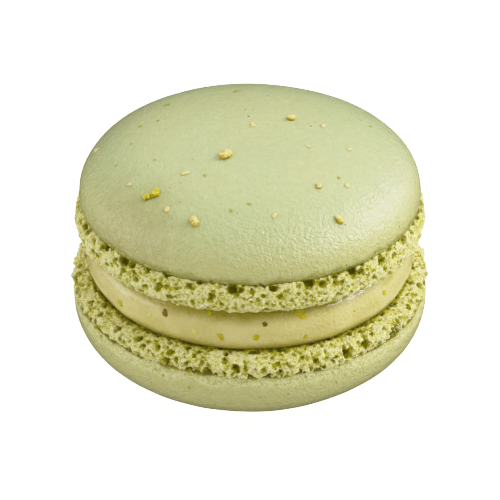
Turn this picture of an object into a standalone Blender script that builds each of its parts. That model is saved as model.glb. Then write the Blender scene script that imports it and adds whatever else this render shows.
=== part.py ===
# French macaron: two almond shells, each a smooth domed cap on a ruffled foot,
# with one disc of filling pressed between them.
# Metres, +Z up, origin at the centre of the flat spot that the macaron rests on.

import math

import bpy

# Driving dimensions: the radius of the upper cap where it meets its foot
CAP_RADIUS = 0.0220

# Layer heights
LOWER_FOOT_HEIGHT = 0.123 * CAP_RADIUS
FILLING_HEIGHT = 0.292 * CAP_RADIUS
UPPER_FOOT_HEIGHT = 0.174 * CAP_RADIUS

# Caps: widest radius, its distance beyond the seam, and the dome beyond that
UPPER_CAP = {
    "seam_radius": 1.000 * CAP_RADIUS,
    "widest_radius": 1.007 * CAP_RADIUS,
    "widest_from_seam": 0.040 * CAP_RADIUS,
    "dome_height": 0.378 * CAP_RADIUS,
    "radius_power": 2.75,
    "height_power": 2.10,
    "flat_radius": 0.0015,
}
LOWER_CAP = {
    "seam_radius": 1.047 * CAP_RADIUS,
    "widest_radius": 1.055 * CAP_RADIUS,
    "widest_from_seam": 0.068 * CAP_RADIUS,
    "dome_height": 0.463 * CAP_RADIUS,
    "radius_power": 2.43,
    "height_power": 2.30,
    "flat_radius": 0.0075,
}

# Feet: the bead's widest radius, where along its height that lies, and its lip
UPPER_FOOT = {
    "bead_radius": 1.037 * CAP_RADIUS,
    "bead_at": 0.55,
    "lip_radius": 1.010 * CAP_RADIUS,
    "face_radius": 0.955 * CAP_RADIUS,
}
LOWER_FOOT = {
    "bead_radius": 1.068 * CAP_RADIUS,
    "bead_at": 0.28,
    "lip_radius": 1.000 * CAP_RADIUS,
    "face_radius": 0.950 * CAP_RADIUS,
}

# Filling: its radius at the top edge, at the bulge and at the bottom edge
FILLING_TOP_RADIUS = 0.940 * CAP_RADIUS
FILLING_BULGE_RADIUS = 0.977 * CAP_RADIUS
FILLING_BOTTOM_RADIUS = 0.955 * CAP_RADIUS
FILLING_BULGE_AT = 0.62  # share of its height, down from the top edge

LAYER_GAP = 0.0003  # between the filling and each shell
RUFFLE_DEPTH = 0.0009  # of the feet, from crest to hollow
RUFFLE_SIZE = 0.0016  # width of one crumb of the ruffle
FILLING_UNEVENNESS = 0.0003
FILLING_WAVE = 0.0080

ROUND_STEPS = 112
DOME_RINGS = 8
FOOT_RINGS = 6
FILLING_RINGS = 6

SHELL_COLOUR = (0.775, 0.790, 0.580)
FILLING_COLOUR = (0.790, 0.735, 0.480)


def clear_scene():
    for old_object in list(bpy.data.objects):
        bpy.data.objects.remove(old_object, do_unlink=True)


def linear_colour(colour):
    """Screen colour to the linear values that a shader takes."""
    return tuple(
        value / 12.92 if value <= 0.04045 else ((value + 0.055) / 1.055) ** 2.4
        for value in colour
    ) + (1.0,)


def make_material(name, colour, roughness):
    material = bpy.data.materials.new(name)
    material.use_nodes = True
    shader = material.node_tree.nodes["Principled BSDF"]
    shader.inputs["Base Color"].default_value = linear_colour(colour)
    shader.inputs["Roughness"].default_value = roughness
    shader.inputs["Metallic"].default_value = 0.0
    return material


def dome_height_at(radius, cap):
    """Height of the dome above its widest ring, at this radius."""
    share = (radius / cap["widest_radius"]) ** cap["radius_power"]
    return cap["dome_height"] * (1.0 - share) ** (1.0 / cap["height_power"])


def cap_height(cap):
    """Height of the cap's flat centre over its seam."""
    return cap["widest_from_seam"] + dome_height_at(cap["flat_radius"], cap)


def cap_outline(cap):
    """(radius, height over the seam, 0.0) from the flat centre down to the seam."""
    first_angle = math.acos(
        (cap["flat_radius"] / cap["widest_radius"]) ** (cap["radius_power"] / 2.0)
    )
    points = [(0.0, cap_height(cap), 0.0)]
    for ring in range(DOME_RINGS + 1):
        angle = first_angle * (1.0 - ring / DOME_RINGS)
        radius = cap["widest_radius"] * math.cos(angle) ** (2.0 / cap["radius_power"])
        height = dome_height_at(min(radius, cap["widest_radius"]), cap)
        points.append((radius, cap["widest_from_seam"] + height, 0.0))
    tuck = cap["widest_radius"] - cap["seam_radius"]
    points.append((cap["widest_radius"] - 0.35 * tuck, 0.4 * cap["widest_from_seam"], 0.0))
    points.append((cap["seam_radius"], 0.0, 0.0))
    return points


def foot_outline(foot, seam_radius, foot_height):
    """(radius, height over the seam, ruffle) from below the seam in to the foot's flat face."""
    points = []
    for ring in range(1, FOOT_RINGS + 1):
        down = ring / FOOT_RINGS
        if down < foot["bead_at"]:
            side, end_radius, power = 1.0 - down / foot["bead_at"], seam_radius, 2.0
        else:
            side = (down - foot["bead_at"]) / (1.0 - foot["bead_at"])
            end_radius, power = foot["lip_radius"], 2.4
        radius = foot["bead_radius"] - (foot["bead_radius"] - end_radius) * side**power
        ruffle = 1.0 if ring < FOOT_RINGS else 0.55
        points.append((radius, -foot_height * down, ruffle))
    points.append((foot["face_radius"], -foot_height, 0.0))
    points.append((0.0, -foot_height, 0.0))
    return points


def filling_outline(height):
    """(radius, height over the middle, wave) from the top centre round to the bottom centre."""
    points = [(0.0, height / 2.0, 0.0), (0.6 * FILLING_TOP_RADIUS, height / 2.0, 0.0)]
    for ring in range(FILLING_RINGS + 1):
        down = ring / FILLING_RINGS
        if down < FILLING_BULGE_AT:
            side, end_radius = 1.0 - down / FILLING_BULGE_AT, FILLING_TOP_RADIUS
        else:
            side = (down - FILLING_BULGE_AT) / (1.0 - FILLING_BULGE_AT)
            end_radius = FILLING_BOTTOM_RADIUS
        radius = FILLING_BULGE_RADIUS - (FILLING_BULGE_RADIUS - end_radius) * side**2
        wave = 0.0 if ring in (0, FILLING_RINGS) else 1.0
        points.append((radius, height * (0.5 - down), wave))
    points.append((0.6 * FILLING_BOTTOM_RADIUS, -height / 2.0, 0.0))
    points.append((0.0, -height / 2.0, 0.0))
    return points


def turned_object(name, outline, height, material, collection):
    """Turns a top-to-bottom outline of (radius, height, weight) round the Z axis."""
    mesh = bpy.data.meshes.new(name)
    corners = [(radius, 0.0, level) for radius, level, _ in outline]
    edges = [(index, index + 1) for index in range(len(corners) - 1)]
    mesh.from_pydata(corners, edges, [])
    mesh.materials.append(material)
    turned = bpy.data.objects.new(name, mesh)
    turned.location.z = height
    collection.objects.link(turned)
    uneven = turned.vertex_groups.new(name="uneven")
    for index, (_, _, weight) in enumerate(outline):
        if weight > 0.0:
            uneven.add([index], weight, "REPLACE")
    screw = turned.modifiers.new("Turn", "SCREW")
    screw.axis = "Z"
    screw.angle = math.tau
    screw.steps = ROUND_STEPS
    screw.render_steps = ROUND_STEPS
    screw.use_merge_vertices = True
    screw.merge_threshold = 0.000001
    screw.use_smooth_shade = True
    return turned


def add_unevenness(turned, depth, size, detail):
    """Pushes the weighted rings in and out by a fixed cloud pattern."""
    pattern = bpy.data.textures.new(turned.name + "_unevenness", "CLOUDS")
    pattern.noise_scale = size
    pattern.noise_depth = detail
    push = turned.modifiers.new("Unevenness", "DISPLACE")
    push.texture = pattern
    push.texture_coords = "LOCAL"
    push.direction = "NORMAL"
    push.vertex_group = "uneven"
    push.mid_level = 0.5
    push.strength = depth


def make_shell(name, cap, foot, seam_height, foot_height, cap_up, material, collection):
    outline = cap_outline(cap) + foot_outline(foot, cap["seam_radius"], foot_height)
    if not cap_up:
        outline = [(radius, -level, weight) for radius, level, weight in reversed(outline)]
    shell = turned_object(name, outline, seam_height, material, collection)
    add_unevenness(shell, RUFFLE_DEPTH, RUFFLE_SIZE, 1)
    return shell


def make_filling(middle_height, material, collection):
    outline = filling_outline(FILLING_HEIGHT - 2.0 * LAYER_GAP)
    filling = turned_object("filling", outline, middle_height, material, collection)
    add_unevenness(filling, FILLING_UNEVENNESS, FILLING_WAVE, 0)
    return filling


def main():
    clear_scene()
    collection = bpy.data.collections.new("french_macaron")
    bpy.context.scene.collection.children.link(collection)
    shell_material = make_material("almond_shell", SHELL_COLOUR, 0.60)
    filling_material = make_material("filling", FILLING_COLOUR, 0.42)
    lower_seam = cap_height(LOWER_CAP)
    filling_bottom = lower_seam + LOWER_FOOT_HEIGHT
    filling_top = filling_bottom + FILLING_HEIGHT
    upper_seam = filling_top + UPPER_FOOT_HEIGHT
    make_shell(
        "bottom_shell", LOWER_CAP, LOWER_FOOT, lower_seam, LOWER_FOOT_HEIGHT,
        False, shell_material, collection,
    )
    make_filling((filling_bottom + filling_top) / 2.0, filling_material, collection)
    make_shell(
        "top_shell", UPPER_CAP, UPPER_FOOT, upper_seam, UPPER_FOOT_HEIGHT,
        True, shell_material, collection,
    )


main()
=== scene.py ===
import math
import random

import bmesh
import bpy
import numpy as np
from mathutils import Matrix, Vector, noise
from mathutils.bvhtree import BVHTree


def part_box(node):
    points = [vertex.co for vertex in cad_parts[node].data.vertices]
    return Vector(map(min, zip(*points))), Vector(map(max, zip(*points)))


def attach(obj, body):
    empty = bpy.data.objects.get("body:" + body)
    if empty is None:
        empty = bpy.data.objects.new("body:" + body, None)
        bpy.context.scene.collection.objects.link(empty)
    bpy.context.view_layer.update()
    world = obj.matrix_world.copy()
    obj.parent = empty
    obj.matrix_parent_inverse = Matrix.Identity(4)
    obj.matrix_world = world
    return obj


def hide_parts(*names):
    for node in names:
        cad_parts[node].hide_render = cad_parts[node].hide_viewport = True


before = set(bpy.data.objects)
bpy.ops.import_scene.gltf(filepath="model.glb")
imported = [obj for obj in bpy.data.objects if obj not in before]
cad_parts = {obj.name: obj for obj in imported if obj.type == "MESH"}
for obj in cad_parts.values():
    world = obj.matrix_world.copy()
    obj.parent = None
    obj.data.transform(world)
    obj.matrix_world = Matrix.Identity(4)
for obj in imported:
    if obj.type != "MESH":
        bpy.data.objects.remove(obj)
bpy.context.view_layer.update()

mm = 0.001

# The layers, read from the frame: heights of the seams over the table
layerGap = 0.3 * mm
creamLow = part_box("filling")[0].z - layerGap
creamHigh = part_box("filling")[1].z + layerGap
capRadius = (creamHigh - creamLow) / 0.292  # upper cap, where it meets its foot
upperSeam = creamHigh + 0.174 * capRadius
lowerSeam = creamLow - 0.123 * capRadius
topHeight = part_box("top_shell")[1].z
print("stage: frame read, cap radius %.2f mm, seams at %.2f and %.2f mm" % (
    capRadius / mm, lowerSeam / mm, upperSeam / mm))


# ---- helpers for meshes

def addObject(name, mesh):
    piece = bpy.data.objects.new(name, mesh)
    bpy.context.scene.collection.objects.link(piece)
    return piece


def meshFrom(bm, name):
    bmesh.ops.recalc_face_normals(bm, faces=bm.faces)
    mesh = bpy.data.meshes.new(name)
    bm.to_mesh(mesh)
    bm.free()
    mesh.shade_smooth()
    return mesh


def spinOutline(outline, steps):
    # outline is (radius, height) from one pole to the other
    bm = bmesh.new()
    corners = [bm.verts.new((radius, 0, height)) for radius, height in outline]
    edges = [bm.edges.new(pair) for pair in zip(corners, corners[1:])]
    bmesh.ops.spin(bm, geom=corners + edges, cent=(0, 0, 0), axis=(0, 0, 1), angle=math.tau,
                   steps=steps, use_merge=True)
    bmesh.ops.remove_doubles(bm, verts=bm.verts, dist=0.002 * mm)
    return bm


def finishPiece(piece, nodes, material):
    piece.data.materials.clear()
    piece.data.materials.append(material)
    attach(piece, "root")
    if nodes:
        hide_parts(*nodes)
    return piece


# ---- helpers for node trees

def feed(tree, value, socket):
    if isinstance(value, bpy.types.NodeSocket):
        tree.links.new(value, socket)
    else:
        socket.default_value = value


def calc(tree, operation, *values):
    node = tree.nodes.new("ShaderNodeMath")
    node.operation = operation
    for value, socket in zip(values, node.inputs):
        feed(tree, value, socket)
    return node.outputs[0]


def vectorCalc(tree, operation, first, second):
    node = tree.nodes.new("ShaderNodeVectorMath")
    node.operation = operation
    feed(tree, first, node.inputs[0])
    feed(tree, second, node.inputs["Scale"] if operation == "SCALE" else node.inputs[1])
    return node.outputs[0]


def ramp(tree, value, low, high, start=0.0, end=1.0, kind="SMOOTHSTEP"):
    node = tree.nodes.new("ShaderNodeMapRange")
    node.interpolation_type = kind
    for given, socket in zip((value, low, high, start, end), node.inputs):
        feed(tree, given, socket)
    return node.outputs[0]


def noiseAt(tree, place, scale, detail=2.0, roughness=0.5, seed=0.0):
    node = tree.nodes.new("ShaderNodeTexNoise")
    shifted = vectorCalc(tree, "ADD", place, (seed * 3.1, seed * 5.3, seed * 7.7))
    values = {"Vector": shifted, "Scale": scale, "Detail": detail, "Roughness": roughness}
    for socketName, value in values.items():
        feed(tree, value, node.inputs[socketName])
    return node.outputs[0]


def mixColour(tree, share, first, second):
    node = tree.nodes.new("ShaderNodeMix")
    node.data_type = "RGBA"
    feed(tree, share, node.inputs[0])
    feed(tree, first, node.inputs[6])
    feed(tree, second, node.inputs[7])
    return node.outputs[2]


def screenColour(red, green, blue):
    def linear(value):
        value = value / 255
        return value / 12.92 if value <= 0.04045 else ((value + 0.055) / 1.055) ** 2.4
    return (linear(red), linear(green), linear(blue), 1.0)


# ---- shared shader groups

def newGroup(name, inputs, outputs):
    tree = bpy.data.node_groups.new(name, "ShaderNodeTree")
    for socketName, kind, value in inputs:
        socket = tree.interface.new_socket(socketName, in_out="INPUT", socket_type=kind)
        if value is not None:
            socket.default_value = value
    for socketName, kind in outputs:
        tree.interface.new_socket(socketName, in_out="OUTPUT", socket_type=kind)
    return tree, tree.nodes.new("NodeGroupInput").outputs, tree.nodes.new("NodeGroupOutput").inputs


def makeSpotGroup():
    # Round spots scattered through space: cell size and spot radius in millimetres
    tree, given, out = newGroup("scatteredSpots", [
        ("Place", "NodeSocketVector", None), ("Cell Size", "NodeSocketFloat", 3.0),
        ("Smallest", "NodeSocketFloat", 0.1), ("Largest", "NodeSocketFloat", 0.3),
        ("Share", "NodeSocketFloat", 0.5), ("Softness", "NodeSocketFloat", 0.1),
        ("Seed", "NodeSocketFloat", 0.0),
    ], [("Mask", "NodeSocketFloat"), ("Tone", "NodeSocketFloat")])
    cells = tree.nodes.new("ShaderNodeTexVoronoi")
    shift = vectorCalc(tree, "SCALE", given["Seed"], 13.7)
    feed(tree, vectorCalc(tree, "ADD", given["Place"], shift), cells.inputs["Vector"])
    feed(tree, calc(tree, "DIVIDE", 1.0, given["Cell Size"]), cells.inputs["Scale"])
    parts = tree.nodes.new("ShaderNodeSeparateColor")
    feed(tree, cells.outputs["Color"], parts.inputs[0])
    distance = calc(tree, "MULTIPLY", cells.outputs["Distance"], given["Cell Size"])
    size = ramp(tree, parts.outputs[0], 0.0, 1.0, given["Smallest"], given["Largest"], "LINEAR")
    edge = calc(tree, "DIVIDE", calc(tree, "SUBTRACT", size, distance), given["Softness"])
    present = calc(tree, "LESS_THAN", parts.outputs[1], given["Share"])
    mask = calc(tree, "MULTIPLY", ramp(tree, edge, 0.0, 1.0), present)
    feed(tree, mask, out["Mask"])
    feed(tree, parts.outputs[2], out["Tone"])
    return tree


def makeGrainGroup():
    # Fine baked grain: a height of about 0 to 1 with two sizes of bump
    tree, given, out = newGroup("bakedGrain", [
        ("Place", "NodeSocketVector", None), ("Coarse Size", "NodeSocketFloat", 0.6),
        ("Fine Size", "NodeSocketFloat", 0.25), ("Fine Share", "NodeSocketFloat", 0.5),
    ], [("Height", "NodeSocketFloat")])
    coarse = noiseAt(tree, given["Place"], calc(tree, "DIVIDE", 1.0, given["Coarse Size"]), 2.0, 0.5, 4.0)
    fine = noiseAt(tree, given["Place"], calc(tree, "DIVIDE", 1.0, given["Fine Size"]), 1.0, 0.5, 9.0)
    feed(tree, ramp(tree, given["Fine Share"], 0.0, 1.0, coarse, fine, "LINEAR"), out["Height"])
    return tree


def makeFrothGroup():
    # Packed rounded crumbs: height 1 on their tops and 0 in the gaps
    tree, given, out = newGroup("crumbFroth", [
        ("Place", "NodeSocketVector", None), ("Size", "NodeSocketFloat", 0.4),
    ], [("Height", "NodeSocketFloat")])
    cells = tree.nodes.new("ShaderNodeTexVoronoi")
    feed(tree, given["Place"], cells.inputs["Vector"])
    feed(tree, calc(tree, "DIVIDE", 1.0, given["Size"]), cells.inputs["Scale"])
    feed(tree, ramp(tree, cells.outputs["Distance"], 0.1, 0.75, 1.0, 0.0), out["Height"])
    return tree


spotGroup = makeSpotGroup()
frothGroup = makeFrothGroup()
grainGroup = makeGrainGroup()


def useGroup(tree, group, **values):
    node = tree.nodes.new("ShaderNodeGroup")
    node.node_tree = group
    for socketName, value in values.items():
        feed(tree, value, node.inputs[socketName.replace("_", " ")])
    return node.outputs


def startMaterial(name):
    material = bpy.data.materials.new(name)
    material.use_nodes = True
    tree = material.node_tree
    shader = tree.nodes["Principled BSDF"]
    coordinates = tree.nodes.new("ShaderNodeTexCoord")
    place = vectorCalc(tree, "SCALE", coordinates.outputs["Object"], 1000.0)  # in millimetres
    return material, tree, shader, place


def addBump(tree, shader, height):
    # height in millimetres
    bump = tree.nodes.new("ShaderNodeBump")
    bump.inputs["Strength"].default_value = 1.0
    bump.inputs["Distance"].default_value = mm
    feed(tree, height, bump.inputs["Height"])
    feed(tree, bump.outputs[0], shader.inputs["Normal"])


# Crumb look, shared by the feet and by the caps' edges; its colours darken to olive with depth under the skin, as
# painted shade in gaps, pits and hollows

crumbLook = {
    "crest": (255, 252, 220),
    "middle": (237, 231, 152),
    "pitShade": (184, 177, 24),
    "deepShade": (116, 109, 0),
    "crestDepth": (-0.26, 0.08),  # mm under the skin, where one colour gives way to the next
    "pitDepth": (0.06, 0.28),
    "deepDepth": (0.28, 0.70),
    "crumbSize": 0.42,  # mm
    "fineCrumbSize": 0.24,
    "pitCell": 0.95,
    "smallestPit": 0.06,
    "largestPit": 0.20,
    "relief": 0.18,
}


def makeCrumbGroup():
    # Depth is in millimetres under the skin; Height too. The deeper colours are painted shade
    look = crumbLook
    tree, given, out = newGroup("frothyCrumb", [
        ("Place", "NodeSocketVector", None), ("Depth", "NodeSocketFloat", 0.0),
    ], [("Colour", "NodeSocketColor"), ("Height", "NodeSocketFloat")])
    wobble = tree.nodes.new("ShaderNodeTexNoise")
    feed(tree, given["Place"], wobble.inputs["Vector"])
    wobble.inputs["Scale"].default_value = 2.2
    wobble.inputs["Detail"].default_value = 1.0
    bent = vectorCalc(tree, "ADD", given["Place"], vectorCalc(tree, "SCALE", wobble.outputs["Color"], 0.5))
    froth = useGroup(tree, frothGroup, Place=bent, Size=look["crumbSize"])["Height"]
    fineFroth = useGroup(tree, frothGroup, Place=bent, Size=look["fineCrumbSize"])["Height"]
    height = calc(tree, "MULTIPLY_ADD", fineFroth, 0.5, calc(tree, "MULTIPLY", froth, 0.5))
    pits = useGroup(tree, spotGroup, Place=bent, Cell_Size=look["pitCell"], Smallest=look["smallestPit"],
                    Largest=look["largestPit"], Share=0.7, Softness=0.12, Seed=5.0)
    height = calc(tree, "MULTIPLY_ADD", pits["Mask"], -0.8, height)
    mottle = ramp(tree, noiseAt(tree, given["Place"], 1.3, 3.0, 0.6, 6.0), 0.3, 0.7, -0.10, 0.10, "LINEAR")
    depth = calc(tree, "ADD", given["Depth"], mottle)
    # low places between the crumbs count as deeper, so the gaps get painted shade
    depth = calc(tree, "MULTIPLY_ADD", calc(tree, "SUBTRACT", 0.5, height), 0.36, depth)
    colour = mixColour(tree, ramp(tree, depth, *look["crestDepth"]), screenColour(*look["crest"]),
                       screenColour(*look["middle"]))
    colour = mixColour(tree, ramp(tree, depth, *look["pitDepth"]), colour, screenColour(*look["pitShade"]))
    colour = mixColour(tree, ramp(tree, depth, *look["deepDepth"]), colour, screenColour(*look["deepShade"]))
    feed(tree, colour, out["Colour"])
    feed(tree, calc(tree, "MULTIPLY", height, look["relief"]), out["Height"])
    return tree


crumbGroup = makeCrumbGroup()


# ---- cap skin material

capLook = {
    "green": (194, 204, 147),
    "beige": (198, 200, 141),
    "rimShade": (211, 207, 129),
    "underShade": (196, 190, 98),
    "seam": (152, 154, 46),
    "pinhole": (112, 106, 10),
    "speckle": (178, 184, 112),
    "pale": (226, 226, 176),
    "fleck": (196, 190, 60),
    "shade": (178, 168, 98),
    "shadeTurn": -46,  # degrees round from the front, where the shoulder is painted browner as shade on the side away from the key lights
    "shadeReach": (3.0, 11.0),  # mm from there
    "shadeShare": 0.5,
    "rimHeight": (0.3, 7.0),  # mm over the seam, where the rim's painted shade is full and where it has gone
    "seamHeight": (0.15, 1.3),
    "lowerSeamHeight": (-0.1, 0.3),
    "lowerEdgeHighlight": (222, 226, 180),
    "lowerEdgeHeight": (0.2, 0.5, 1.0, 2.0),
    "crumbHeight": (0.0, 0.4),
    "underHeight": (1.5, 6.5),  # mm over the table, where the painted shade under the lower cap is full and where it has gone
    "roughness": 0.20,
    "specular": 0.62,
    "veil": 0.84,
    "veilRoughness": 0.52,
    "grainDepth": (0.40, 0.12),  # mm, on the shoulder and on the flat top
    "grainHeight": (5.0, 8.2),  # mm over the seam, where one gives way to the other
}


def makeCapMaterial():
    look = capLook
    material, tree, shader, place = startMaterial("macaronSkin")
    parts = tree.nodes.new("ShaderNodeSeparateXYZ")
    feed(tree, place, parts.inputs[0])
    overSeam = calc(tree, "MAXIMUM", calc(tree, "SUBTRACT", parts.outputs[2], upperSeam / mm),
                    calc(tree, "SUBTRACT", lowerSeam / mm, parts.outputs[2]))
    wobble = ramp(tree, noiseAt(tree, place, 0.5, 4.0, 0.6, 12.0), 0.25, 0.75, -0.6, 0.6, "LINEAR")
    overEdge = calc(tree, "ADD", overSeam, wobble)

    # Skin: green with beige patches; painted shade makes it yellower down the rim and over the lower cap, and darker
    # and yellower under the lower cap
    patches = ramp(tree, noiseAt(tree, place, 0.09, 2.0, 0.5, 2.0), 0.38, 0.64, 0.0, 0.6)
    colour = mixColour(tree, patches, screenColour(*look["green"]), screenColour(*look["beige"]))
    rimShade = ramp(tree, overEdge, *look["rimHeight"], 1.0, 0.0)
    lower = ramp(tree, parts.outputs[2], lowerSeam / mm, lowerSeam / mm + 1, 1.0, 0.0)
    colour = mixColour(tree, calc(tree, "MAXIMUM", rimShade, lower), colour, screenColour(*look["rimShade"]))
    underShade = ramp(tree, parts.outputs[2], *look["underHeight"], 1.0, 0.0)
    colour = mixColour(tree, underShade, colour, screenColour(*look["underShade"]))
    # A browner patch on the left-front shoulder: painted shade
    turn = math.radians(look["shadeTurn"])
    middle = Vector((math.sin(turn), -math.cos(turn), 0)) * 0.97 * capRadius + Vector((0, 0, upperSeam))
    middle = middle / mm + Vector((0, 0, 3.0))
    away = tree.nodes.new("ShaderNodeVectorMath")
    away.operation = "DISTANCE"
    feed(tree, place, away.inputs[0])
    feed(tree, tuple(middle), away.inputs[1])
    away = calc(tree, "MULTIPLY_ADD", wobble, 4.0, away.outputs["Value"])
    shade = ramp(tree, away, *look["shadeReach"], look["shadeShare"], 0.0)
    colour = mixColour(tree, shade, colour, screenColour(*look["shade"]))
    mottle = ramp(tree, noiseAt(tree, place, 1.1, 4.0, 0.7, 5.0), 0.35, 0.75, 0.0, 0.3)
    colour = mixColour(tree, mottle, colour, screenColour(*look["pale"]))

    # Spots: pale ones, olive pinholes and a few yellow flecks
    pale = useGroup(tree, spotGroup, Place=place, Cell_Size=3.0, Smallest=0.1, Largest=0.5, Share=0.5,
                    Softness=0.35, Seed=3.0)
    colour = mixColour(tree, calc(tree, "MULTIPLY", pale["Mask"], 0.4), colour, screenColour(*look["pale"]))
    # A pale band on the lower cap just under its seam: a painted highlight where the skin turns upward
    edge = look["lowerEdgeHeight"]
    band = calc(tree, "MULTIPLY", ramp(tree, overEdge, *edge[:2]), ramp(tree, overEdge, *edge[2:], 1.0, 0.0))
    band = calc(tree, "MULTIPLY", calc(tree, "MULTIPLY", band, lower), 0.6)
    colour = mixColour(tree, band, colour, screenColour(*look["lowerEdgeHighlight"]))
    # Olive along each cap's edge at its seam: painted shade where the skin curls under towards the foot
    seam = ramp(tree, lower, 0.0, 1.0, ramp(tree, overEdge, *look["seamHeight"], 0.85, 0.0),
                ramp(tree, overEdge, *look["lowerSeamHeight"], 0.85, 0.0), "LINEAR")
    colour = mixColour(tree, seam, colour, screenColour(*look["seam"]))
    holes = useGroup(tree, spotGroup, Place=place, Cell_Size=1.35, Smallest=0.05, Largest=0.19, Share=0.9,
                     Softness=0.12, Seed=1.0)
    holeShare = calc(tree, "MULTIPLY", holes["Mask"], ramp(tree, holes["Tone"], 0.0, 1.0, 0.15, 1.0))
    colour = mixColour(tree, holeShare, colour, screenColour(*look["pinhole"]))
    specks = useGroup(tree, spotGroup, Place=place, Cell_Size=0.8, Smallest=0.05, Largest=0.14, Share=0.7,
                      Softness=0.1, Seed=11.0)
    speckShare = calc(tree, "MULTIPLY", specks["Mask"], ramp(tree, specks["Tone"], 0.2, 1.0, 0.1, 0.7))
    fine = ramp(tree, noiseAt(tree, place, 2.6, 3.0, 0.8, 15.0), 0.45, 0.75, 0.0, 0.30)
    colour = mixColour(tree, calc(tree, "MAXIMUM", speckShare, fine), colour, screenColour(*look["speckle"]))
    flecks = useGroup(tree, spotGroup, Place=place, Cell_Size=5.0, Smallest=0.1, Largest=0.5, Share=0.4,
                      Softness=0.3, Seed=7.0)
    colour = mixColour(tree, calc(tree, "MULTIPLY", flecks["Mask"], 0.4), colour, screenColour(*look["fleck"]))
    grain = useGroup(tree, grainGroup, Place=place, Coarse_Size=0.62, Fine_Size=0.30, Fine_Share=0.45)
    height = calc(tree, "MULTIPLY", grain["Height"], ramp(tree, overSeam, *look["grainHeight"], *look["grainDepth"]))
    height = calc(tree, "MULTIPLY_ADD", holeShare, -0.08, height)

    # At the seam the skin breaks up into crumb, with painted shade in its pits
    edgePits = useGroup(tree, spotGroup, Place=place, Cell_Size=1.2, Smallest=0.10, Largest=0.40, Share=0.65,
                        Softness=0.22, Seed=9.0)
    # Painted shade: olive in the groove between foot and cap, further out here and there on the lower cap
    reach = ramp(tree, noiseAt(tree, place, 0.28, 2.0, 0.6, 19.0), 0.35, 0.65, -0.1, 0.3, "LINEAR")
    fromGroove = calc(tree, "SUBTRACT", overSeam, calc(tree, "MULTIPLY", reach, lower))
    tuckedShade = ramp(tree, fromGroove, -0.25, 0.35, 0.5, 0.0)
    depth = calc(tree, "MULTIPLY_ADD", edgePits["Mask"], 0.42, calc(tree, "ADD", tuckedShade, 0.06))
    crumb = useGroup(tree, crumbGroup, Place=place, Depth=depth)
    crumbShare = calc(tree, "MAXIMUM", ramp(tree, overEdge, *look["crumbHeight"], 1.0, 0.0), band)
    crumbShare = calc(tree, "MAXIMUM", crumbShare, ramp(tree, tuckedShade, 0.05, 0.45))
    pitShare = calc(tree, "MULTIPLY", edgePits["Mask"], ramp(tree, overEdge, 0.3, 1.3, 1.0, 0.0))
    crumbShare = calc(tree, "MAXIMUM", crumbShare, pitShare)
    colour = mixColour(tree, crumbShare, colour, crumb["Colour"])
    feed(tree, colour, shader.inputs["Base Color"])
    height = ramp(tree, crumbShare, 0.0, 1.0, height, crumb["Height"], "LINEAR")
    addBump(tree, shader, calc(tree, "MULTIPLY_ADD", pitShare, -0.15, height))
    dull = calc(tree, "MAXIMUM", crumbShare, holes["Mask"])
    feed(tree, ramp(tree, crumbShare, 0.0, 1.0, look["roughness"], 0.45, "LINEAR"), shader.inputs["Roughness"])
    shader.inputs["Specular IOR Level"].default_value = look["specular"]
    feed(tree, ramp(tree, dull, 0.0, 1.0, look["veil"], 0.0, "LINEAR"), shader.inputs["Coat Weight"])
    shader.inputs["Coat Roughness"].default_value = look["veilRoughness"]
    shader.inputs["Subsurface Weight"].default_value = 0.12
    shader.inputs["Subsurface Radius"].default_value = (1.0, 0.8, 0.35)
    shader.inputs["Subsurface Scale"].default_value = 0.6 * mm
    return material


# ---- foot material

def makeFootMaterial():
    material, tree, shader, place = startMaterial("macaronFootCrumb")
    # Depth under the skin, which the crumb colours turn into painted shade
    depth = tree.nodes.new("ShaderNodeAttribute")
    depth.attribute_name = "pitDepth"
    crumb = useGroup(tree, crumbGroup, Place=place, Depth=depth.outputs["Fac"])
    feed(tree, crumb["Colour"], shader.inputs["Base Color"])
    addBump(tree, shader, crumb["Height"])
    inside = ramp(tree, depth.outputs["Fac"], 0.0, 0.3)
    feed(tree, ramp(tree, inside, 0.0, 1.0, 0.40, 0.6, "LINEAR"), shader.inputs["Roughness"])
    shader.inputs["Specular IOR Level"].default_value = 0.2
    return material


# ---- cream material

creamLook = {
    "cream": (221, 208, 124),
    "light": (230, 218, 144),
    "contactShade": (184, 169, 0),
    "topContact": (1.4, 2.9),  # mm from the filling's edge, where the painted shade under the foot is full and where it has gone
    "bottomContact": (0.0, 1.6),
    "roughness": 0.45,
    "specular": 0.6,
    "gloss": 0.9,
    "glossRoughness": 0.13,
    "sheen": 0.1,
    "sheenRoughness": 0.4,
}


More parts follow.
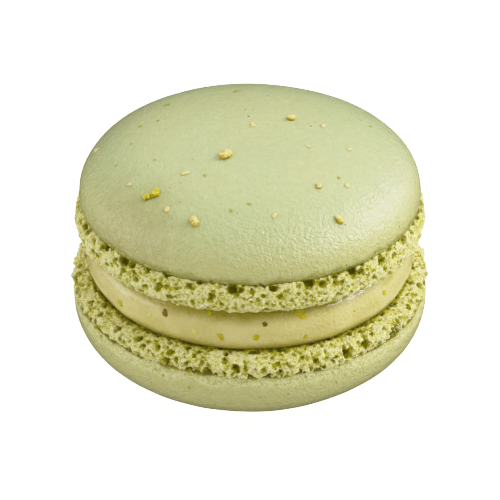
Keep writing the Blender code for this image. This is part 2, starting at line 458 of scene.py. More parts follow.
def makeCreamMaterial():
    look = creamLook
    material, tree, shader, place = startMaterial("pistachioCream")
    parts = tree.nodes.new("ShaderNodeSeparateXYZ")
    feed(tree, place, parts.inputs[0])
    cloud = ramp(tree, noiseAt(tree, place, 0.3, 3.0, 0.5, 8.0), 0.3, 0.7)
    colour = mixColour(tree, cloud, screenColour(*look["cream"]), screenColour(*look["light"]))
    wobble = ramp(tree, noiseAt(tree, place, 0.45, 2.0, 0.6, 3.0), 0.25, 0.75, -0.3, 0.3, "LINEAR")
    # Painted shade on the filling where the feet overhang its top and bottom
    fromTop = calc(tree, "SUBTRACT", creamHigh / mm, calc(tree, "ADD", parts.outputs[2], wobble))
    fromBottom = calc(tree, "SUBTRACT", calc(tree, "ADD", parts.outputs[2], wobble), creamLow / mm)
    contactShade = calc(tree, "MAXIMUM", ramp(tree, fromTop, *look["topContact"], 1.0, 0.0),
                   ramp(tree, fromBottom, *look["bottomContact"], 0.8, 0.0))
    colour = mixColour(tree, contactShade, colour, screenColour(*look["contactShade"]))
    feed(tree, colour, shader.inputs["Base Color"])
    ripples = noiseAt(tree, vectorCalc(tree, "MULTIPLY", place, (1.0, 1.0, 2.5)), 0.8, 3.0, 0.5, 2.0)
    beads = noiseAt(tree, place, 2.4, 1.0, 0.5, 6.0)
    addBump(tree, shader, calc(tree, "MULTIPLY_ADD", beads, 0.16, calc(tree, "MULTIPLY", ripples, 0.06)))
    shader.inputs["Roughness"].default_value = look["roughness"]
    shader.inputs["Specular IOR Level"].default_value = look["specular"]
    shader.inputs["Coat Weight"].default_value = look["gloss"]
    shader.inputs["Coat IOR"].default_value = 1.52
    shader.inputs["Coat Roughness"].default_value = look["glossRoughness"]
    shader.inputs["Sheen Weight"].default_value = look["sheen"]
    shader.inputs["Sheen Roughness"].default_value = look["sheenRoughness"]
    shader.inputs["Subsurface Weight"].default_value = 0.25
    shader.inputs["Subsurface Radius"].default_value = (1.0, 0.75, 0.3)
    shader.inputs["Subsurface Scale"].default_value = 1.2 * mm
    return material


skinMaterial = makeCapMaterial()
footMaterial = makeFootMaterial()
creamMaterial = makeCreamMaterial()
print("stage: materials made")


# ---- caps

upperCap = {
    "name": "top_cap",
    "seam": upperSeam,
    "seamRadius": 1.000 * capRadius,
    "widestRadius": 1.007 * capRadius,
    "widestFromSeam": 0.040 * capRadius,
    "domeHeight": topHeight - upperSeam - 0.040 * capRadius - 0.18 * mm,
    "radiusPower": 2.75,
    "heightPower": 2.10,
    "flatRadius": 0.0,
    "tuckDepth": 0.35 * mm,
    "facing": 1,
    "seed": 11.0,
}
lowerCap = {
    "name": "bottom_cap",
    "seam": lowerSeam,
    "seamRadius": 1.053 * capRadius,
    "widestRadius": 1.064 * capRadius,
    "widestFromSeam": 0.068 * capRadius,
    "domeHeight": 0.463 * capRadius,
    "radiusPower": 2.43,
    "heightPower": 2.30,
    "flatRadius": 7.5 * mm,
    "tuckDepth": 0.35 * mm,
    "facing": -1,
    "seed": 23.0,
}


def capOutline(cap, rings):
    # From the pole out over the dome, round the rim and back in under the seam
    firstAngle = math.pi / 2
    flatHeight = cap["domeHeight"]
    outline = [(0.0, cap["widestFromSeam"] + flatHeight)]
    if cap["flatRadius"]:
        firstAngle = math.acos((cap["flatRadius"] / cap["widestRadius"]) ** (cap["radiusPower"] / 2))
        flatHeight = cap["domeHeight"] * math.sin(firstAngle) ** (2 / cap["heightPower"])
        outline = [(0.0, cap["widestFromSeam"] + flatHeight)]
        outline.append((cap["flatRadius"] * 0.5, cap["widestFromSeam"] + flatHeight))
    for ring in range(0 if cap["flatRadius"] else 1, rings + 1):
        angle = firstAngle * (1 - ring / rings) ** 1.15
        radius = cap["widestRadius"] * math.cos(angle) ** (2 / cap["radiusPower"])
        height = cap["domeHeight"] * math.sin(angle) ** (2 / cap["heightPower"])
        outline.append((radius, cap["widestFromSeam"] + height))
    tuck = cap["widestRadius"] - cap["seamRadius"]
    for step in range(1, 7):
        share = step / 6
        outline.append((cap["widestRadius"] - tuck * share ** 2.4, cap["widestFromSeam"] * (1 - share)))
    lip = cap["tuckDepth"]
    for step in range(1, 5):  # the skin's rounded lower lip
        turn = step / 4 * math.pi / 2
        outline.append((cap["seamRadius"] - lip * (1 - math.cos(turn)), -lip * math.sin(turn)))
    outline.append((0.9 * cap["seamRadius"], -lip))
    outline.append((0.0, -lip))
    return [(radius, cap["seam"] + cap["facing"] * height) for radius, height in outline]


def makeCap(cap, steps=320, rings=72):
    bm = spinOutline(capOutline(cap, rings), steps)
    seam, facing = cap["seam"], cap["facing"]
    for vert in bm.verts:
        radius = math.hypot(vert.co.x, vert.co.y)
        above = (vert.co.z - seam) * facing
        share = radius / capRadius
        flatRest = facing < 0 and vert.co.z < 0.4 * mm
        place = vert.co / mm
        swell = noise.noise(Vector((place.x * 0.09, place.y * 0.09, cap["seed"]))) * 0.16
        dimple = noise.noise(Vector((place.x * 0.35, place.y * 0.35, place.z * 0.35 + cap["seed"]))) * 0.035
        if share > 0.05 and not flatRest:
            push = (swell * min(1.0, above / (3 * mm)) + dimple) * mm if above > 0 else 0.0
            vert.co.z += facing * push
        nearRim = max(0.0, 1.0 - abs(above) / (1.6 * mm)) if share > 0.85 else 0.0
        if nearRim:
            turn = math.atan2(vert.co.y, vert.co.x)
            ring = Vector((math.cos(turn) * 9, math.sin(turn) * 9, cap["seed"]))
            wave = noise.noise(ring * 1.0) * 0.16 + noise.noise(ring * 3.1) * 0.10
            vert.co.z += wave * nearRim * mm
            wave = noise.noise(ring * 1.3 + Vector((5, 5, 5))) * 0.10
            vert.co.x *= 1 + wave * nearRim * mm / radius
            vert.co.y *= 1 + wave * nearRim * mm / radius
    piece = addObject(cap["name"], meshFrom(bm, cap["name"]))
    return piece


topCap = finishPiece(makeCap(upperCap), ["top_shell"], skinMaterial)
bottomCap = finishPiece(makeCap(lowerCap), ["bottom_shell"], skinMaterial)
print("stage: caps made")


# ---- cream filling

cream = {
    "topRadius": 0.81 * capRadius,
    "bulgeRadius": 0.977 * capRadius,
    "bottomRadius": 0.935 * capRadius,
    "bulgeAt": 0.60,
    "topPower": 2.2,
    "bottomPower": 3.0,
    "overlap": 0.35 * mm,
}


def makeCream(steps=320, rings=30):
    top, bottom = creamHigh + cream["overlap"], creamLow - cream["overlap"]
    outline = [(0.0, top), (0.85 * cream["topRadius"], top)]
    for ring in range(rings + 1):
        down = ring / rings
        if down < cream["bulgeAt"]:
            side, endRadius = 1 - down / cream["bulgeAt"], cream["topRadius"]
            power = cream["topPower"]
        else:
            side = (down - cream["bulgeAt"]) / (1 - cream["bulgeAt"])
            endRadius, power = cream["bottomRadius"], cream["bottomPower"]
        radius = cream["bulgeRadius"] - (cream["bulgeRadius"] - endRadius) * side ** power
        outline.append((radius, top + (bottom - top) * down))
    outline += [(0.85 * cream["bottomRadius"], bottom), (0.0, bottom)]
    bm = spinOutline(outline, steps)
    for vert in bm.verts:
        radius = math.hypot(vert.co.x, vert.co.y)
        if radius > 0.88 * cream["topRadius"]:
            turn = math.atan2(vert.co.y, vert.co.x)
            place = Vector((math.cos(turn) * 4, math.sin(turn) * 4, vert.co.z / mm * 0.35))
            wave = noise.noise(place) * 0.16 + noise.noise(place * 3) * 0.05
            vert.co.x *= 1 + wave * mm / radius
            vert.co.y *= 1 + wave * mm / radius
    return addObject("cream_filling", meshFrom(bm, "cream_filling"))


filling = finishPiece(makeCream(), ["filling"], creamMaterial)
print("stage: cream made")


# Feet: porous crumb grown as a solid field, then meshed

upperFoot = {
    "name": "top_foot",
    "coreRadius": 0.930 * capRadius / mm,  # millimetres from here on
    "reach": 0.104 * capRadius / mm,
    "middle": (upperSeam - 0.090 * capRadius) / mm,
    "halfHeight": 0.100 * capRadius / mm,
    "power": 3.0,
    "lean": 0.30,  # how far it stands out more at the edge away from the cap than at its middle
    "sideTuck": 0.0,
    "towardsCap": 1,
    "edgeWander": 0.25,
    "bigPitTurn": 38,  # degrees round the bead, up from its outermost line towards the cap
    "bigPitShare": 0.85,
    "bigPit": {"cell": 3.1, "smallest": 0.42, "largest": 0.85, "spread": 0.4, "flatness": 1.3},
    "groove": {"turn": 52, "narrow": -0.50, "wide": 0.14, "wander": 0.5},  # where foot and cap join
    "seed": 5.0,
}
lowerFoot = {
    "name": "bottom_foot",
    "coreRadius": 0.930 * capRadius / mm,
    "reach": 0.140 * capRadius / mm,
    "middle": (lowerSeam + 0.036 * capRadius) / mm,
    "halfHeight": 0.076 * capRadius / mm,
    "power": 2.6,
    "lean": 0.0,
    "sideTuck": 0.5,  # how much of its half height it ends sooner at the two sides
    "towardsCap": -1,
    "edgeWander": 1.2,
    "bigPitTurn": 4,
    "bigPitShare": 0.85,
    "bigPit": {"cell": 2.7, "smallest": 0.32, "largest": 0.62, "spread": 0.8, "flatness": 1.1},
    "groove": {"turn": 22, "narrow": -0.50, "wide": 0.85, "wander": 1.1},
    "seed": 31.0,
}
crumb = {
    "voxel": 0.14,  # mm
    "swells": ((0.35, 0.0, 0.3), (1.0, 0.0, 0.32)),  # waves per mm, detail, depth in mm
    "swellShade": 0.35,  # how much painted shade darkens the hollows between swells
    "granuleSize": 0.55,
    "granuleDepth": 0.21,
    # cell size, smallest and largest radius in mm, share of cells used, more of them towards the cap
    "pits": ((1.7, 0.24, 0.50, 0.85, 0.15), (0.95, 0.15, 0.31, 0.80, 0.10), (0.6, 0.11, 0.19, 0.60, 0.0)),
    "pitFlatness": 1.2,
    "pitNarrowing": 0.88,
    "pitRaggedness": 0.9,
    "mostTriangles": 190000,
}


def cellsAt(tree, place, cellSize, dimensions="3D"):
    texture = tree.nodes.new("ShaderNodeTexVoronoi")
    texture.voronoi_dimensions = dimensions
    feed(tree, place, texture.inputs["W" if dimensions == "1D" else "Vector"])
    texture.inputs["Scale"].default_value = 1 / cellSize
    tones = tree.nodes.new("FunctionNodeSeparateColor")
    feed(tree, texture.outputs["Color"], tones.inputs[0])
    return calc(tree, "MULTIPLY", texture.outputs["Distance"], cellSize), tones.outputs


def pitAt(tree, away, below, size, narrowing):
    # Depth inside a round pit whose middle lies on the skin; positive in the hole
    sunk = calc(tree, "MULTIPLY", below, narrowing)
    reach = calc(tree, "SQRT", calc(tree, "MULTIPLY_ADD", away, away, calc(tree, "MULTIPLY", sunk, sunk)))
    return calc(tree, "SUBTRACT", size, reach)


def growFoot(foot):
    tree = bpy.data.node_groups.new(foot["name"] + "Crumb", "GeometryNodeTree")
    tree.interface.new_socket("Geometry", in_out="INPUT", socket_type="NodeSocketGeometry")
    tree.interface.new_socket("Geometry", in_out="OUTPUT", socket_type="NodeSocketGeometry")
    place = vectorCalc(tree, "SCALE", tree.nodes.new("GeometryNodeInputPosition").outputs[0], 1000.0)
    parts = tree.nodes.new("ShaderNodeSeparateXYZ")
    feed(tree, place, parts.inputs[0])
    x, y, z = parts.outputs
    seed = foot["seed"]

    # The bead, with its edge towards the cap wandering up and down
    radius = calc(tree, "SQRT", calc(tree, "MULTIPLY_ADD", x, x, calc(tree, "MULTIPLY", y, y)))
    upward = calc(tree, "DIVIDE", calc(tree, "SUBTRACT", z, foot["middle"]), foot["halfHeight"])
    nearCap = calc(tree, "MULTIPLY", upward, foot["towardsCap"])
    radius = calc(tree, "MULTIPLY_ADD", nearCap, foot["lean"], radius)
    across = calc(tree, "DIVIDE", calc(tree, "SUBTRACT", radius, foot["coreRadius"]), foot["reach"])
    atSide = ramp(tree, calc(tree, "ABSOLUTE", x), 0.45 * capRadius / mm, 0.95 * capRadius / mm)
    level = tree.nodes.new("ShaderNodeCombineXYZ")
    feed(tree, x, level.inputs[0])
    feed(tree, y, level.inputs[1])
    wander = calc(tree, "SUBTRACT", noiseAt(tree, level.outputs[0], 0.45, 3.0, 0.75, seed), 0.5)
    wander = calc(tree, "MULTIPLY", wander, ramp(tree, nearCap, 0.0, 1.0, 0.0, foot["edgeWander"]))
    tuck = calc(tree, "MULTIPLY", atSide, ramp(tree, nearCap, 0.0, 0.6, 0.0, foot["sideTuck"]))
    lifted = calc(tree, "ADD", calc(tree, "ABSOLUTE", upward), calc(tree, "ADD", wander, tuck))
    power = foot["power"]
    bead = calc(tree, "ADD", calc(tree, "POWER", calc(tree, "ABSOLUTE", across), power),
                calc(tree, "POWER", calc(tree, "MAXIMUM", lifted, 0.0), power))
    bead = calc(tree, "SUBTRACT", calc(tree, "POWER", bead, 1 / power), 1.0)
    surface = calc(tree, "MULTIPLY", bead, min(foot["reach"], foot["halfHeight"]))
    outer = ramp(tree, across, -0.3, 0.1)  # the hidden inner side stays plain
    beadSurface = surface
    for scale, detail, depth in crumb["swells"]:
        wave = calc(tree, "SUBTRACT", noiseAt(tree, place, scale, detail, 0.5, seed + scale), 0.5)
        surface = calc(tree, "MULTIPLY_ADD", calc(tree, "MULTIPLY", wave, depth), outer, surface)
    hollow = calc(tree, "SUBTRACT", surface, beadSurface)

    # Granules stand out of it
    distance = cellsAt(tree, vectorCalc(tree, "ADD", place, (seed,) * 3), crumb["granuleSize"])[0]
    relief = calc(tree, "MULTIPLY", calc(tree, "SUBTRACT", distance, 0.45 * crumb["granuleSize"]),
                  crumb["granuleDepth"] / crumb["granuleSize"])
    pitted = calc(tree, "MULTIPLY_ADD", relief, outer, surface)

    # Pits are set out on the unrolled skin, whose cut lies at the back
    turn = calc(tree, "ARCTAN2", x, calc(tree, "MULTIPLY", y, -1.0))
    along = calc(tree, "MULTIPLY", turn, capRadius / mm)
    rough = calc(tree, "SUBTRACT", noiseAt(tree, place, 1.9, 2.0, 0.6, seed + 3), 0.5)
    along = calc(tree, "MULTIPLY_ADD", rough, crumb["pitRaggedness"], along)
    rough = calc(tree, "SUBTRACT", noiseAt(tree, place, 1.9, 2.0, 0.6, seed + 4), 0.5)
    around = calc(tree, "ARCTAN2", calc(tree, "MULTIPLY", upward, foot["halfHeight"]),
                  calc(tree, "MULTIPLY", across, foot["reach"]))
    beadSize = (foot["reach"] + foot["halfHeight"]) / 2
    around = calc(tree, "MULTIPLY_ADD", rough, crumb["pitRaggedness"], calc(tree, "MULTIPLY", around, beadSize))
    below = calc(tree, "MULTIPLY", surface, -1.0)
    for index, (cellSize, smallest, largest, share, pull) in enumerate(crumb["pits"]):
        spot = tree.nodes.new("ShaderNodeCombineXYZ")
        feed(tree, calc(tree, "ADD", along, 200 + 17 * seed + 31 * index), spot.inputs[0])
        feed(tree, calc(tree, "MULTIPLY", around, crumb["pitFlatness"]), spot.inputs[1])
        away, tones = cellsAt(tree, spot.outputs[0], cellSize, "2D")
        chance = calc(tree, "MULTIPLY_ADD", nearCap, pull, calc(tree, "SUBTRACT", tones[1], 1 - share))
        size = calc(tree, "MULTIPLY_ADD", tones[0], largest - smallest, smallest)
        size = calc(tree, "MULTIPLY", size, ramp(tree, chance, -0.05, 0.05))
        size = calc(tree, "MULTIPLY", size, outer)
        pitted = calc(tree, "SMOOTH_MAX", pitted, pitAt(tree, away, below, size, crumb["pitNarrowing"]), 0.06)
    big = foot["bigPit"]
    away, tones = cellsAt(tree, calc(tree, "ADD", along, 300 + 11 * seed), big["cell"], "1D")
    offset = calc(tree, "MULTIPLY", calc(tree, "SUBTRACT", tones[2], 0.5), 2 * big["spread"])
    pitLine = foot["towardsCap"] * math.radians(foot["bigPitTurn"]) * beadSize
    rise = calc(tree, "SUBTRACT", calc(tree, "SUBTRACT", around, pitLine), offset)
    rise = calc(tree, "MULTIPLY", rise, big["flatness"])
    away = calc(tree, "SQRT", calc(tree, "MULTIPLY_ADD", away, away, calc(tree, "MULTIPLY", rise, rise)))
    size = calc(tree, "MULTIPLY_ADD", tones[0], big["largest"] - big["smallest"], big["smallest"])
    size = calc(tree, "MULTIPLY", size, calc(tree, "LESS_THAN", tones[1], foot["bigPitShare"]))
    size = calc(tree, "MULTIPLY", size, outer)
    pitted = calc(tree, "SMOOTH_MAX", pitted, pitAt(tree, away, below, size, crumb["pitNarrowing"]), 0.06)

    # A ragged groove between foot and cap
    groove = foot["groove"]
    drift = calc(tree, "SUBTRACT", noiseAt(tree, level.outputs[0], 0.5, 2.0, 0.6, seed + 6), 0.5)
    grooveLine = foot["towardsCap"] * math.radians(groove["turn"]) * beadSize
    grooveLine = calc(tree, "MULTIPLY", ramp(tree, atSide, 0.0, 1.0, 1.0, 1.0 - foot["sideTuck"]), grooveLine)
    rise = calc(tree, "MULTIPLY_ADD", drift, 2 * groove["wander"], calc(tree, "SUBTRACT", around, grooveLine))
    gape = ramp(tree, noiseAt(tree, level.outputs[0], 0.6, 2.0, 0.6, seed + 8), 0.3, 0.7, groove["narrow"],
                groove["wide"], "LINEAR")
    pitted = calc(tree, "SMOOTH_MAX", pitted, pitAt(tree, rise, below, gape, 1.0), 0.06)

    density = calc(tree, "MINIMUM", calc(tree, "MAXIMUM", calc(tree, "MULTIPLY_ADD", pitted, -0.8, 0.5), 0.0), 1.0)
    cube = tree.nodes.new("GeometryNodeVolumeCube")
    feed(tree, density, cube.inputs["Density"])
    wide = foot["coreRadius"] + foot["reach"] + 0.7
    high = foot["halfHeight"] + 0.9
    corner = Vector((wide, wide, high)) * mm
    middle = Vector((0, 0, foot["middle"])) * mm
    cube.inputs["Min"].default_value = middle - corner
    cube.inputs["Max"].default_value = middle + corner
    for axis, half in zip("XYZ", (wide, wide, high)):
        cube.inputs["Resolution " + axis].default_value = round(2 * half / crumb["voxel"])
    mesher = tree.nodes.new("GeometryNodeVolumeToMesh")
    mesher.inputs["Threshold"].default_value = 0.5
    feed(tree, cube.outputs[0], mesher.inputs[0])
    store = tree.nodes.new("GeometryNodeStoreNamedAttribute")
    store.inputs["Name"].default_value = "pitDepth"
    feed(tree, mesher.outputs[0], store.inputs["Geometry"])
    depth = calc(tree, "MULTIPLY_ADD", hollow, crumb["swellShade"], below)
    depth = calc(tree, "ADD", depth, ramp(tree, across, 0.12, 0.36, 0.5, 0.0))  # painted shade: olive where it meets the filling
    feed(tree, depth, store.inputs["Value"])  # millimetres under the skin, shown by the crumb colours as painted shade
    feed(tree, store.outputs[0], tree.nodes.new("NodeGroupOutput").inputs[0])
    return tree


def bakedMesh(piece, name):
    graph = bpy.context.evaluated_depsgraph_get()
    graph.update()
    return bpy.data.meshes.new_from_object(piece.evaluated_get(graph))


def keepLargest(mesh):
    # Drops closed bubbles and loose specks, so one connected skin is left
    ends = np.empty(len(mesh.edges) * 2, np.int32)
    mesh.edges.foreach_get("vertices", ends)
    ends = ends.reshape(-1, 2)
    label = np.arange(len(mesh.vertices))
    while True:
        lowest = np.minimum(label[ends[:, 0]], label[ends[:, 1]])
        better = label.copy()
        np.minimum.at(better, ends[:, 0], lowest)
        np.minimum.at(better, ends[:, 1], lowest)
        better = better[better]
        if (better == label).all():
            break
        label = better
    names, counts = np.unique(label, return_counts=True)
    main = names[counts.argmax()]
    bm = bmesh.new()
    bm.from_mesh(mesh)
    bm.verts.ensure_lookup_table()
    loose = [bm.verts[int(index)] for index in np.nonzero(label != main)[0]]
    bmesh.ops.delete(bm, geom=loose, context="VERTS")
    bm.to_mesh(mesh)
    bm.free()
    return mesh


def makeFoot(foot):
    grower = addObject(foot["name"], bpy.data.meshes.new(foot["name"]))
    modifier = grower.modifiers.new("Crumb", "NODES")
    modifier.node_group = growFoot(foot)
    mesh = keepLargest(bakedMesh(grower, foot["name"]))
    grower.modifiers.clear()
    grower.data = mesh
    triangles = sum(len(face.vertices) - 2 for face in mesh.polygons)
    print("stage: %s grown, %d triangles" % (foot["name"], triangles))
    if triangles > crumb["mostTriangles"]:
        thin = grower.modifiers.new("Thin", "DECIMATE")
        thin.ratio = crumb["mostTriangles"] / triangles
        grower.data = bakedMesh(grower, foot["name"])
        grower.modifiers.clear()
    mesh = grower.data
    mesh.shade_smooth()
    mesh.name = foot["name"]
    return grower


topFoot = finishPiece(makeFoot(upperFoot), ["top_shell"], footMaterial)
bottomFoot = finishPiece(makeFoot(lowerFoot), ["bottom_shell"], footMaterial)
print("stage: feet made")


# Crumbs and flecks: small lumps sunk in the surfaces, one piece for each kind

# Each place: degrees round from the front, share of the cap's radius out from the axis,
# width in millimetres and how many grains it is made of
goldenCrumbs = {
    "name": "golden_crumbs",
    "places": ((-29, 0.30, 1.8, 4), (125, 0.29, 1.25, 2), (35, 0.88, 1.2, 2), (36, 0.65, 0.9, 2),
               (-21.5, 0.845, 1.3, 4)),
    "top": (239, 219, 142),
    "side": (204, 178, 30),
    "paintedTopLight": True,
    "flatness": 0.62,
    "sunk": 0.12,
    "lumps": 0.42,
    "seed": 3,
}
greenCrumbs = {
    "name": "green_crumbs",
    "places": ((-43.8, 0.762, 1.25, 4), (-45.8, 0.808, 1.05, 3)),
    "top": (226, 208, 60),
    "side": (188, 176, 0),
    "paintedTopLight": True,
    "flatness": 0.75,
    "sunk": 0.05,
    "lumps": 0.45,
    "seed": 7,
}
almondCrumbs = {
    "name": "almond_crumbs",
    "places": ((-41, 0.56, 1.2, 2), (-34.6, 0.82, 0.85, 1), (-59, 0.80, 0.8, 1),
               (-96.3, 0.905, 1.2, 2), (167, 0.08, 1.0, 2), (103, 0.44, 0.8, 1), (77, 0.59, 0.8, 1),
               (66, 0.37, 0.7, 1), (49, 0.73, 0.8, 1), (10, 0.78, 0.7, 1)),
    "top": (226, 216, 150),
    "side": (204, 190, 100),
    "paintedTopLight": True,
    "flatness": 0.24,
    "sunk": 0.32,
    "lumps": 0.4,
    "seed": 12,
}
oliveFlecks = {
    "name": "olive_flecks",
    "places": ((-172, 0.568, 0.95, 1), (-130.6, 0.653, 0.85, 1), (-110, 0.576, 0.55, 1), (-105, 0.665, 0.7, 1),
               (-76, 0.797, 0.4, 1), (-29.6, 0.515, 0.6, 1), (-8.2, 0.746, 0.45, 1), (-0.5, 0.694, 0.5, 1),
               (50, 0.66, 0.50, 1), (106, 0.74, 0.45, 1), (-66, 0.60, 0.40, 1)),
    "top": (190, 188, 92),
    "side": (150, 146, 40),
    "paintedTopLight": False,
    "flatness": 0.16,
    "sunk": 0.40,
    "lumps": 0.3,
    "seed": 21,
}
# On the filling, degrees round from the front and radii down from the upper seam
creamNuts = {
    "name": "cream_nuts",
    "places": ((-14, -0.25, 0.9, 1), (-50, -0.37, 1.0, 1), (-10, -0.38, 1.15, 2), (2, -0.37, 1.05, 1),
               (18, -0.257, 1.7, 3), (19, -0.40, 0.85, 1), (52, -0.33, 1.3, 2), (38, -0.33, 0.5, 1),
               (-78, -0.34, 0.9, 1), (84, -0.36, 0.8, 1), (118, -0.31, 1.1, 2), (152, -0.37, 0.9, 1),
               (-170, -0.30, 1.0, 1), (-132, -0.36, 1.2, 2)),
    "top": (208, 193, 0),
    "side": (186, 168, 0),
    "paintedTopLight": False,
    "flatness": 0.24,
    "sunk": 0.72,
    "lumps": 0.12,
    "seed": 33,
}
creamBits = {
    "name": "cream_bits",
    "places": ((-19, -0.37, 1.0, 1), (46, -0.335, 0.6, 1), (34, -0.36, 0.5, 1), (-36, -0.34, 0.6, 1),
               (135, -0.34, 0.7, 1), (-112, -0.32, 0.7, 1)),
    "top": (240, 226, 130),
    "side": (222, 206, 90),
    "paintedTopLight": False,
    "flatness": 0.25,
    "sunk": 0.72,
    "lumps": 0.15,
    "seed": 37,
}
creamFlecks = {
    "name": "cream_flecks",
    "places": ((5, -0.29, 0.75, 1), (-30, -0.30, 0.95, 1), (101, -0.33, 0.6, 1), (-155, -0.35, 0.7, 1)),
    "top": (152, 120, 8),
    "side": (116, 86, 0),
    "paintedTopLight": False,
    "flatness": 0.35,
    "sunk": 0.65,
    "lumps": 0.2,
    "seed": 41,
}
# On the lower cap, degrees round from the front and radii down from the upper seam
lowFlecks = {
    "name": "low_flecks",
    "places": ((-19, -0.70, 0.45, 1), (-28, -0.66, 0.4, 1), (28, -0.71, 0.35, 1), (3, -0.73, 0.3, 1),
               (12, -0.72, 0.3, 1), (70, -0.70, 0.45, 1), (-95, -0.72, 0.5, 1), (160, -0.69, 0.5, 1)),
    "top": (206, 188, 90),
    "side": (170, 152, 50),
    "paintedTopLight": False,
    "flatness": 0.25,
    "sunk": 0.42,
    "lumps": 0.2,
    "seed": 52,
}


def makeCrumbMaterial(kind):
    material, tree, shader, place = startMaterial(kind["name"])
    facing = tree.nodes.new("ShaderNodeSeparateXYZ")
    feed(tree, tree.nodes.new("ShaderNodeNewGeometry").outputs["Normal"], facing.inputs[0])
    mottle = ramp(tree, noiseAt(tree, place, 2.6, 3.0, 0.6, kind["seed"]), 0.3, 0.7, -0.35, 0.35, "LINEAR")
    # On the golden, green and almond lumps the colour follows the facing: parts turned up take the top colour, the
    # rest the side colour, as painted light on top and painted shade on the sides; on the others the two mix at
    # random
    upward = calc(tree, "ADD", facing.outputs[2], mottle) if kind["paintedTopLight"] else calc(tree, "ADD", mottle, 0.5)
    share = ramp(tree, upward, 0.2, 0.85)
    colour = mixColour(tree, share, screenColour(*kind["side"]), screenColour(*kind["top"]))
    feed(tree, colour, shader.inputs["Base Color"])
    addBump(tree, shader, calc(tree, "MULTIPLY", noiseAt(tree, place, 5.0, 2.0, 0.6, 2.0), 0.06))
    shader.inputs["Roughness"].default_value = 0.55
    shader.inputs["Specular IOR Level"].default_value = 0.25
    return material


def surfaceUnder(tree, turn, out, level):
    # Where a ray meets the surface: down onto the dome, or in from the side when a level is given
    angle = math.radians(turn)
    way = Vector((math.sin(angle), -math.cos(angle), 0))
    if level is None:
        start = way * out * capRadius + Vector((0, 0, topHeight + 5 * mm))
        return tree.ray_cast(start, Vector((0, 0, -1)))[:2]
    start = way * 2 * capRadius + Vector((0, 0, upperSeam + level * capRadius))
    return tree.ray_cast(start, -way)[:2]


def makeCrumbs(kind, host, onDome, nodes):
    tree = BVHTree.FromObject(host, bpy.context.evaluated_depsgraph_get())
    chance = random.Random(kind["seed"])
    bm = bmesh.new()
    for turn, out, width, grains in kind["places"]:
        spot, normal = surfaceUnder(tree, turn, out, None if onDome else out)
        tilt = normal.to_track_quat("Z", "Y").to_matrix().to_4x4()
        for grain in range(grains):
            size = width * mm * (1.0 if grains == 1 else 0.70)
            spread = 0.0 if grains == 1 else 0.22 * width * mm
            swing = chance.uniform(0, math.tau) + grain * math.tau / grains
            shift = Vector((math.cos(swing) * spread, math.sin(swing) * spread, 0))
            lift = size * kind["flatness"] * (0.5 - kind["sunk"])
            stretch = Matrix.Diagonal((chance.uniform(0.85, 1.2), chance.uniform(0.75, 1.0), kind["flatness"], 1))
            spin = Matrix.Rotation(chance.uniform(0, math.tau), 4, "Z")
            made = bmesh.ops.create_icosphere(bm, subdivisions=3, radius=size / 2)["verts"]
            offset = Vector((chance.uniform(0, 50), chance.uniform(0, 50), chance.uniform(0, 50)))
            for vert in made:
                way = vert.co.normalized()
                swell = noise.noise(way * 1.1 + offset) * 0.36 + noise.noise(way * 2.9 + offset) * kind["lumps"]
                vert.co *= 1 + swell
            place = Matrix.Translation(spot) @ tilt @ Matrix.Translation(shift + Vector((0, 0, lift)))
            bmesh.ops.transform(bm, matrix=place @ spin @ stretch, verts=made)
    piece = addObject(kind["name"], meshFrom(bm, kind["name"]))
    return finishPiece(piece, nodes, makeCrumbMaterial(kind))


for kind in (goldenCrumbs, greenCrumbs, almondCrumbs, oliveFlecks):
    makeCrumbs(kind, topCap, True, ["top_shell"])
for kind in (creamNuts, creamBits, creamFlecks):
    makeCrumbs(kind, filling, False, ["filling"])
makeCrumbs(lowFlecks, bottomCap, False, ["bottom_shell"])
print("stage: crumbs and flecks made")


# ---- floor, lights and camera

stageLook = {
    "floor": (246, 246, 244),
    "floorGlow": 2.0,
    "backdrop": 3.0,
    "skyAbove": 0.79,
    "skyBelowFront": 0.54,
    "skyBelowSides": 1.15,
    # azimuth and elevation in degrees, distance, width and height in metres, brightness, blueness
    "softboxes": {
        "keyRightLow": (85, 20, 0.45, 0.24, 0.16, 1.2, 1.35),
        "keyRightHigh": (85, 42, 0.45, 0.24, 0.16, 2.1, 1.06),
        "keyBackLow": (118, 20, 0.45, 0.24, 0.16, 2.6, 1.22),
        "keyBackHigh": (118, 42, 0.45, 0.24, 0.16, 1.3, 1.0),
        "keyFrontHigh": (52, 42, 0.45, 0.24, 0.16, 0.3, 1.0),
        "stripFront": (52, 42, 0.45, 0.16, 0.04, 3.5, 1.05),
        "stripMiddle": (70, 36, 0.45, 0.16, 0.04, 11.0, 1.12),
        "stripSide": (88, 29.5, 0.45, 0.16, 0.04, 11.0, 1.12),
        "stripBack": (106, 24, 0.45, 0.16, 0.04, 9.0, 1.05),
        "left": (-96, 15, 0.45, 0.36, 0.18, 0.5, 0.55),
        "leftLow": (-88, 8, 0.45, 0.40, 0.12, 2.35, 1.10),
        "leftStrip": (-72, 32, 0.45, 0.14, 0.04, 1.2, 1.0),
        "back": (180, 45, 0.60, 0.60, 0.30, 0.44, 1.0),
    },
    "knee": 0.55,  # brightness above which highlights soften towards white
    "whitest": 2.6,
}


def makeFloor():
    bm = bmesh.new()
    bmesh.ops.create_circle(bm, cap_ends=True, segments=96, radius=1.5)
    floor = addObject("floor", meshFrom(bm, "floor"))
    material = bpy.data.materials.new("paleFloor")
    material.use_nodes = True
    shader = material.node_tree.nodes["Principled BSDF"]
    shader.inputs["Base Color"].default_value = screenColour(*stageLook["floor"])
    shader.inputs["Roughness"].default_value = 0.9
    shader.inputs["Emission Color"].default_value = (1.0, 1.0, 1.0, 1.0)
    shader.inputs["Emission Strength"].default_value = stageLook["floorGlow"]
    floor.data.materials.append(material)
    floor.visible_diffuse = False  # a dark table's bounce under the shells, though the floor looks white
    floor.visible_glossy = False


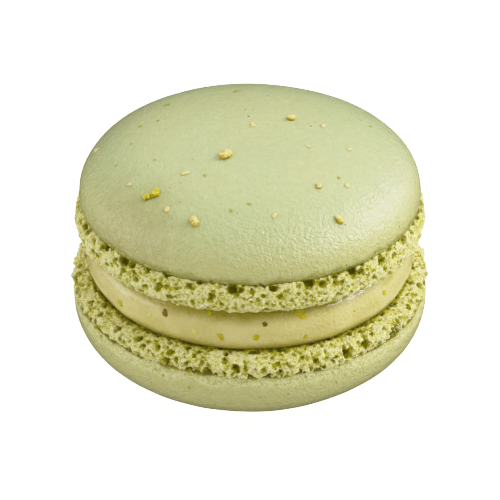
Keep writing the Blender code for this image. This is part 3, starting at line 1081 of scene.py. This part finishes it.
def addSoftbox(name, azimuth, elevation, distance, width, height, brightness, blueness):
    # Azimuth 0 is the camera's side, and positive turns to the right
    light = bpy.data.lights.new(name, "AREA")
    light.shape = "RECTANGLE"
    light.size, light.size_y = width, height
    light.energy = math.pi * width * height * brightness
    light.color = (1.0, 1.0, blueness)
    turn, rise = math.radians(azimuth), math.radians(elevation)
    way = Vector((math.sin(turn) * math.cos(rise), -math.cos(turn) * math.cos(rise), math.sin(rise)))
    lamp = bpy.data.objects.new(name, light)
    lamp.location = Vector((0, 0, creamHigh)) + way * distance
    lamp.rotation_euler = (-way).to_track_quat("-Z", "Y").to_euler()
    bpy.context.scene.collection.objects.link(lamp)


def makeLights():
    for name, values in stageLook["softboxes"].items():
        addSoftbox(name, *values)
    world = bpy.data.worlds.new("studio")
    world.use_nodes = True
    tree = world.node_tree
    way = tree.nodes.new("ShaderNodeTexCoord")
    parts = tree.nodes.new("ShaderNodeSeparateXYZ")
    feed(tree, way.outputs["Generated"], parts.inputs[0])
    below = ramp(tree, parts.outputs[1], -0.9, 0.0, stageLook["skyBelowFront"], stageLook["skyBelowSides"])
    strength = ramp(tree, parts.outputs[2], -0.25, 0.15, below, stageLook["skyAbove"])
    seen = tree.nodes.new("ShaderNodeLightPath").outputs["Is Camera Ray"]
    strength = ramp(tree, seen, 0.0, 1.0, strength, stageLook["backdrop"], "LINEAR")
    feed(tree, strength, tree.nodes["Background"].inputs["Strength"])
    tree.nodes["Background"].inputs["Color"].default_value = (1.0, 1.0, 1.0, 1.0)
    world.cycles_visibility.glossy = False  # only the softboxes show as highlights
    bpy.context.scene.world = world


def setTone():
    # Straight up to the knee, then an even shoulder that lets highlights go pale rather than clip
    view = bpy.context.scene.view_settings
    view.view_transform = "Standard"
    view.use_curve_mapping = True
    view.curve_mapping.white_level = (stageLook["whitest"],) * 3
    curve = view.curve_mapping.curves[3]
    knee, whitest = stageLook["knee"], stageLook["whitest"]
    for brightness in (0.2, 0.4, knee, 0.7, 0.85, 1.0, 1.25, 1.6, 2.0):
        over = max(0.0, brightness - knee)
        shown = min(brightness, knee) + (1 - knee) * (1 - math.exp(-over / (1 - knee)))
        curve.points.new(brightness / whitest, shown)
    for point in curve.points:
        if point.location[0] * whitest < knee - 0.01:
            point.handle_type = "VECTOR"
    view.curve_mapping.update()


def makeCamera():
    rise = math.radians(31)
    middle = Vector((0, 0, upperSeam))
    away = 14 * capRadius
    camera = bpy.data.cameras.new("camera")
    camera.lens = 170.6
    camera.sensor_width = 36
    camera.clip_start = 0.01
    viewer = bpy.data.objects.new("camera", camera)
    viewer.location = middle + away * Vector((0, -math.cos(rise), math.sin(rise)))
    tilt = math.atan(58 / 2370)  # the seam's middle stands a little above the picture's middle
    viewer.rotation_euler = (math.pi / 2 - rise - tilt, 0, 0)
    bpy.context.scene.collection.objects.link(viewer)
    bpy.context.scene.camera = viewer


makeFloor()
makeLights()
makeCamera()
setTone()
print("stage: floor, lights and camera made")
